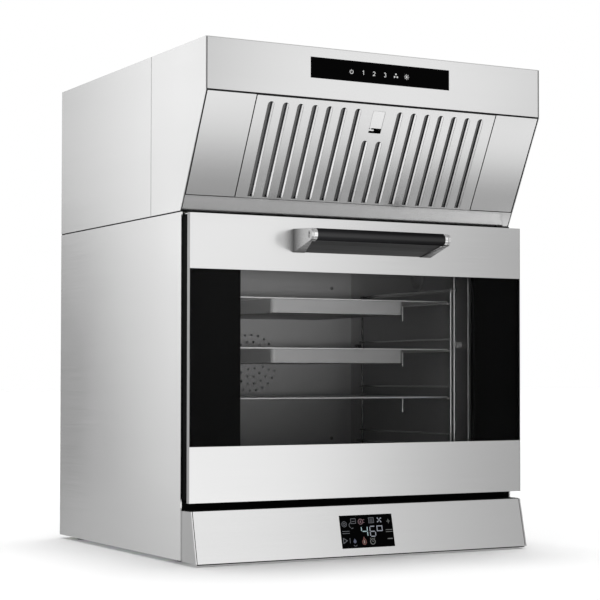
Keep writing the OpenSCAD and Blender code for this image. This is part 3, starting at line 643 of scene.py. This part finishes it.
def mouth_trims():
    """The chamber walls' bright front edges, a rolled strip on each side of the mouth."""
    bm = bmesh.new()
    both(bm, UPRIGHT, (222.7, 8.0, 142.0), (223.85, 10.4, 464.0), chamfer=0.3)
    bmesh.ops.recalc_face_normals(bm, faces=bm.faces)
    me = bpy.data.meshes.new("mouth_trims")
    bm.to_mesh(me)
    bm.free()
    me.materials.append(trim.m)
    o = bpy.data.objects.new("mouth_trims", me)
    scene.collection.objects.link(o)
    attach(o, "cabinet")


mouth_trims()


# ------------------------------------------------------------------ floor and light
def plane(name, corners, mat):
    me = bpy.data.meshes.new(name)
    me.from_pydata([tuple(c) for c in corners], [], [(0, 1, 2, 3)])
    me.materials.append(mat)
    o = bpy.data.objects.new(name, me)
    scene.collection.objects.link(o)
    return o


floor_m = Mat("floor_pale", (0.92, 0.92, 0.92), 0.9)
floor_m.b.inputs["Specular IOR Level"].default_value = 0.0
floor_m.shade(floor_m.noise(floor_m.coords(), 2.0), 0.99, 1.0)
floor = plane("floor", [(-30, -30, 0), (30, -30, 0), (30, 30, 0), (-30, 30, 0)], floor_m.m)
floor.visible_glossy = False
NODES["handle_grip"].visible_glossy = False


class Glow:
    """The light of a studio card, as a smooth function of its place in the room."""

    def __init__(self, nt):
        self.nt = nt

    def add(self, kind, **values):
        n = self.nt.nodes.new(kind)
        for k, v in values.items():
            setattr(n, k, v)
        return n

    def axes(self, vec):
        n = self.add("ShaderNodeSeparateXYZ")
        self.nt.links.new(vec, n.inputs[0])
        return n.outputs

    def math(self, op, a, b=None):
        n = self.add("ShaderNodeMath", operation=op)
        for i, v in enumerate((a, b)):
            if v is None:
                continue
            if isinstance(v, (int, float)):
                n.inputs[i].default_value = v
            else:
                self.nt.links.new(v, n.inputs[i])
        return n.outputs[0]

    def fade(self, v, x0, x1, y0, y1):
        """From y0 at x0 to y1 at x1, eased at both ends."""
        n = self.add("ShaderNodeMapRange", interpolation_type="SMOOTHSTEP")
        for k, val in (("From Min", x0), ("From Max", x1), ("To Min", y0), ("To Max", y1)):
            n.inputs[k].default_value = val
        self.nt.links.new(v, n.inputs["Value"])
        return n.outputs["Result"]

    def curve(self, v, pts):
        """Straight pieces through a few points."""
        out = None
        for (x0, y0), (x1, y1) in zip(pts, pts[1:]):
            n = self.add("ShaderNodeMapRange")
            for k, val in (("From Min", x0), ("From Max", x1), ("To Min", y0 if out is None else 0.0), ("To Max", y1 if out is None else y1 - y0)):
                n.inputs[k].default_value = val
            self.nt.links.new(v, n.inputs["Value"])
            out = n.outputs["Result"] if out is None else self.math("ADD", out, n.outputs["Result"])
        return out

    def mix(self, t, a, b):
        """a where t is 0, b where t is 1."""
        return self.math("ADD", a, self.math("MULTIPLY", t, self.math("SUBTRACT", b, a)))


def coordinate(g, axis):
    """One of the row frame's coordinates, in metres, on a CAD node."""
    t = g.add("ShaderNodeTexCoord")
    return g.axes(t.outputs["Object"])[axis]


# Painted shade: the brackets' colour is darkened towards the door and on the inner side of the right one.
bk = Glow(bracket_steel.nt)
bracket_shade_node = bk.add("ShaderNodeVectorMath", operation="SCALE")
bracket_base = bracket_steel.b.inputs["Base Color"]
bk.nt.links.new(bracket_base.links[0].from_socket, bracket_shade_node.inputs[0])
shade_by_door = bk.curve(coordinate(bk, 1), [(-0.312, 1.0), (-0.290, 0.85), (-0.270, 0.42), (-0.2575, 0.13), (-0.2562, 0.10)])
inner_side = bk.fade(coordinate(bk, 0), 0.107, 0.121, 0.0, 1.0)
left_side = bk.fade(coordinate(bk, 0), -0.01, 0.01, 1.0, 0.0)
bk.nt.links.new(bk.math("MULTIPLY", shade_by_door, bk.math("ADD", 0.06, bk.math("MAXIMUM", inner_side, left_side))), bracket_shade_node.inputs["Scale"])
bk.nt.links.new(bracket_shade_node.outputs[0], bracket_base)


def scaled(mat, build):
    """Multiply a material's base colour by a number that changes along the piece."""
    g = Glow(mat.nt)
    n = g.add("ShaderNodeVectorMath", operation="SCALE")
    base = mat.b.inputs["Base Color"]
    if base.links:
        g.nt.links.new(base.links[0].from_socket, n.inputs[0])
    else:
        n.inputs[0].default_value = base.default_value[:3]
    g.nt.links.new(build(g), n.inputs["Scale"])
    g.nt.links.new(n.outputs[0], base)


# Painted highlight: the cheeks' folded front edges are made brighter than their faces.
scaled(cheek_steel, lambda g: g.fade(g.math("ABSOLUTE", coordinate(g, 0)), 0.2972, 0.2980, 1.7, 1.0))
# Painted shade: the chamber's walls are darkened towards the mouth.
scaled(cavity, lambda g: g.curve(coordinate(g, 1), [(-0.222, 0.25), (-0.178, 0.5), (-0.135, 1.0)]))

# Painted shade: the racks' wires are darkened towards the rear, standing in for the dark of the chamber's back.
scaled(chrome, lambda g: g.fade(coordinate(g, 1), 0.05, 0.125, 1.0, 0.10))


def slot_painted_shade(g):
    """Painted shade: the left one of each slot's two pressed edges is darkened."""
    y, z_ = coordinate(g, 1), coordinate(g, 2)
    origin, a = P(0, -87.5, 703.6), math.radians(SLOPE_TILT)
    inward = g.math("ADD", g.math("MULTIPLY", g.math("SUBTRACT", y, origin.y), math.cos(a)), g.math("MULTIPLY", g.math("SUBTRACT", z_, origin.z), math.sin(a)))
    along = g.math("FRACT", g.math("DIVIDE", coordinate(g, 0), 0.02524))
    left = g.math("LESS_THAN", along, 0.5)
    deep = g.fade(inward, 0.00015, 0.0006, 0.0, 1.0)
    return g.math("SUBTRACT", 1.0, g.math("MULTIPLY", g.math("MULTIPLY", left, deep), 0.72))


scaled(slope_steel, slot_painted_shade)


def rim_painted_highlight(g):
    """Painted highlight: the trays' flat rims are made brighter than their basins."""
    z_ = coordinate(g, 2)
    rims = [g.fade(g.math("ABSOLUTE", g.math("SUBTRACT", z_, rim)), 0.0007, 0.0010, 1.0, 0.0) for rim in (0.4102, 0.3302, 0.2502)]
    return g.math("ADD", 1.0, g.math("MULTIPLY", g.math("MAXIMUM", rims[0], g.math("MAXIMUM", rims[1], rims[2])), 1.3))


scaled(trays, rim_painted_highlight)
# Painted reflection: the grip's specular strength follows its height, weak above and below its middle and strong in a
# band there, standing in for its highlight band and dark reflections.
gp = Glow(handle.nt)
gp.nt.links.new(gp.curve(coordinate(gp, 2), [(0.478, 0.30), (0.4915, 0.22), (0.4935, 0.03), (0.4965, 0.10), (0.500, 0.42), (0.503, 0.36), (0.507, 0.04), (0.511, 0.0)]), handle.b.inputs["Specular IOR Level"])
handle.b.inputs["Base Color"].default_value = (0.006, 0.006, 0.0065, 1.0)


def card(name, corners, level, one_sided=False):
    m = bpy.data.materials.new(name)
    m.use_nodes = True
    nt = m.node_tree
    nt.nodes.clear()
    g = Glow(nt)
    out = g.add("ShaderNodeOutputMaterial")
    em = g.add("ShaderNodeEmission")
    t = g.add("ShaderNodeTexCoord")
    nt.links.new(level(g, *g.axes(t.outputs["Object"])), em.inputs["Strength"])
    if one_sided:
        mx = g.add("ShaderNodeMixShader")
        geo = g.add("ShaderNodeNewGeometry")
        tr = g.add("ShaderNodeBsdfTransparent")
        nt.links.new(geo.outputs["Backfacing"], mx.inputs[0])
        nt.links.new(em.outputs[0], mx.inputs[1])
        nt.links.new(tr.outputs[0], mx.inputs[2])
        nt.links.new(mx.outputs[0], out.inputs[0])
    else:
        nt.links.new(em.outputs[0], out.inputs[0])
    o = plane(name, corners, m)
    o.visible_camera = False
    o.visible_diffuse = False
    o.visible_shadow = False
    o.visible_transmission = False
    return o


def front_light(g, x, y, z_):
    door = g.curve(x, [(0.30, 1.20), (0.36, 1.16), (0.53, 1.0), (0.66, 0.80), (0.87, 0.60), (1.0, 0.53), (1.2, 0.45)])
    low = g.mix(g.fade(z_, 0.0, 0.30, 1.0, 0.0), 1.0, g.curve(x, [(0.50, 1.09), (0.80, 0.98)]))
    hood = g.math("MULTIPLY", g.fade(x, 0.05, 0.34, 0.76, 1.16), g.fade(x, 0.78, 1.05, 1.0, 0.80))
    # The band that only the slanted control panel mirrors.
    band = g.math("MULTIPLY", g.fade(z_, 0.33, 0.38, 0.0, 1.0), g.fade(z_, 0.48, 0.53, 1.0, 0.0))
    control = g.mix(band, 1.0, g.curve(x, [(0.30, 0.93), (0.60, 0.92), (0.72, 1.06), (0.85, 1.13), (1.0, 1.12)]))
    level = g.mix(g.fade(z_, 0.62, 0.88, 0.0, 1.0), g.math("MULTIPLY", door, low), hood)
    return g.math("MULTIPLY", level, control)


def side_light(g, x, y, z_):
    near = g.curve(z_, [(-0.12, 0.74), (0.0, 0.85), (0.44, 1.12), (0.93, 1.42)])
    far = g.curve(z_, [(-0.14, 0.51), (0.0, 0.45), (0.22, 0.43), (0.64, 0.62), (0.93, 0.78)])
    low = g.curve(y, [(1.15, -0.88), (1.8, 0.64), (2.3, 1.80), (2.5, 1.95)])
    high = g.curve(y, [(1.15, -0.45), (2.5, 1.6)])
    return g.math("MAXIMUM", g.mix(g.mix(g.fade(z_, 0.60, 0.80, 0.0, 1.0), low, high), near, far), 0.04)


def slope_light(g, x, y, z_):
    high = g.math("MULTIPLY", g.fade(y, -0.65, -0.475, 1.16, 0.22), g.fade(x, 0.15, 0.50, 1.0, 1.12))
    low = g.curve(x, [(0.0, 0.48), (0.23, 0.68), (0.47, 0.72)])
    level = g.mix(g.fade(y, -0.465, -0.448, 0.0, 1.0), high, low)
    return g.mix(g.fade(x, -0.34, -0.20, 1.0, 0.0), level, 1.35)


card("front_card", [(-0.5, -1.25, -0.4), (1.7, -1.25, -0.4), (1.7, -1.25, 1.15), (-0.5, -1.25, 1.15)], front_light)
card("side_card", [(-1.0, 1.0, -0.6), (-1.0, 3.0, -0.6), (-1.0, 3.0, 1.5), (-1.0, 1.0, 1.5)], side_light)
card("slope_card", [(-0.6, -0.78, 0.30), (1.1, -0.78, 0.30), (1.1, -0.34, 0.30), (-0.6, -0.34, 0.30)], slope_light, one_sided=True)

world = bpy.data.worlds.new("world")
scene.world = world
world.use_nodes = True
wn = world.node_tree
wn.nodes.clear()
wg = Glow(wn)
w_out = wg.add("ShaderNodeOutputWorld")
w_bg = wg.add("ShaderNodeBackground")
w_tc = wg.add("ShaderNodeTexCoord")
w_lp = wg.add("ShaderNodeLightPath")
wx, wy, wz = wg.axes(w_tc.outputs["Generated"])
# Brighter from the front left, dim from the right; what the camera sees directly is plain white.
ahead = wg.math("ADD", wg.math("MULTIPLY", wx, -0.35), wg.math("MULTIPLY", wy, -0.93))
level = wg.math("ADD", 0.80, wg.fade(ahead, 0.3, 1.0, 0.0, 0.42))
level = wg.math("ADD", level, wg.fade(wx, 0.2, 0.9, 0.0, -0.28))
level = wg.math("MULTIPLY", level, wg.fade(wz, 0.15, 0.6, 1.0, 0.62))
# A lit ceiling at the front right, which the strip under the filter mirrors by way of the door's top.
ceiling = wg.math("MULTIPLY", wg.fade(wz, 0.50, 0.60, 0.0, 1.0), wg.fade(wz, 0.74, 0.84, 1.0, 0.0))
ceiling = wg.math("MULTIPLY", ceiling, wg.fade(wy, -0.48, -0.36, 1.0, 0.0))
ceiling = wg.math("MULTIPLY", ceiling, wg.fade(wx, 0.50, 0.62, 0.0, 1.9))
level = wg.math("ADD", level, ceiling)
level = wg.mix(w_lp.outputs["Is Camera Ray"], level, 1.0)
wn.links.new(level, w_bg.inputs["Strength"])
w_bg.inputs["Color"].default_value = (1, 1, 1, 1)
wn.links.new(w_bg.outputs[0], w_out.inputs[0])

sun = bpy.data.lights.new("overhead", "SUN")
sun.energy = 1.95
sun.angle = math.radians(24)
sun_o = bpy.data.objects.new("overhead", sun)
scene.collection.objects.link(sun_o)
sun_o.location = (0, 0, 3)
sun_o.rotation_euler = (math.radians(-5), math.radians(3), 0.0)
sun_o.visible_glossy = False

# A narrow soft spot through the window, on the upper left of the chamber.
key = bpy.data.lights.new("chamber_key", "SPOT")
key.energy = 660.0
key.spot_size, key.spot_blend = math.radians(11.6), 1.0
key.shadow_soft_size = 0.10
key_o = bpy.data.objects.new("chamber_key", key)
scene.collection.objects.link(key_o)
key_o.location = P(-1240, -2488, 262)
key_o.rotation_euler = (P(-10, 378, 488) - key_o.location).to_track_quat("-Z", "Y").to_euler()
key_o.visible_glossy = False
key_o.visible_camera = False

scene.view_settings.view_transform = "Standard"
scene.view_settings.look = "None"
scene.view_settings.exposure = 0.0
scene.view_settings.gamma = 1.0


# ------------------------------------------------------------------ rounding a box's corners
def corners(b):
    return [[round(v, 6) for v in c] for c in b]
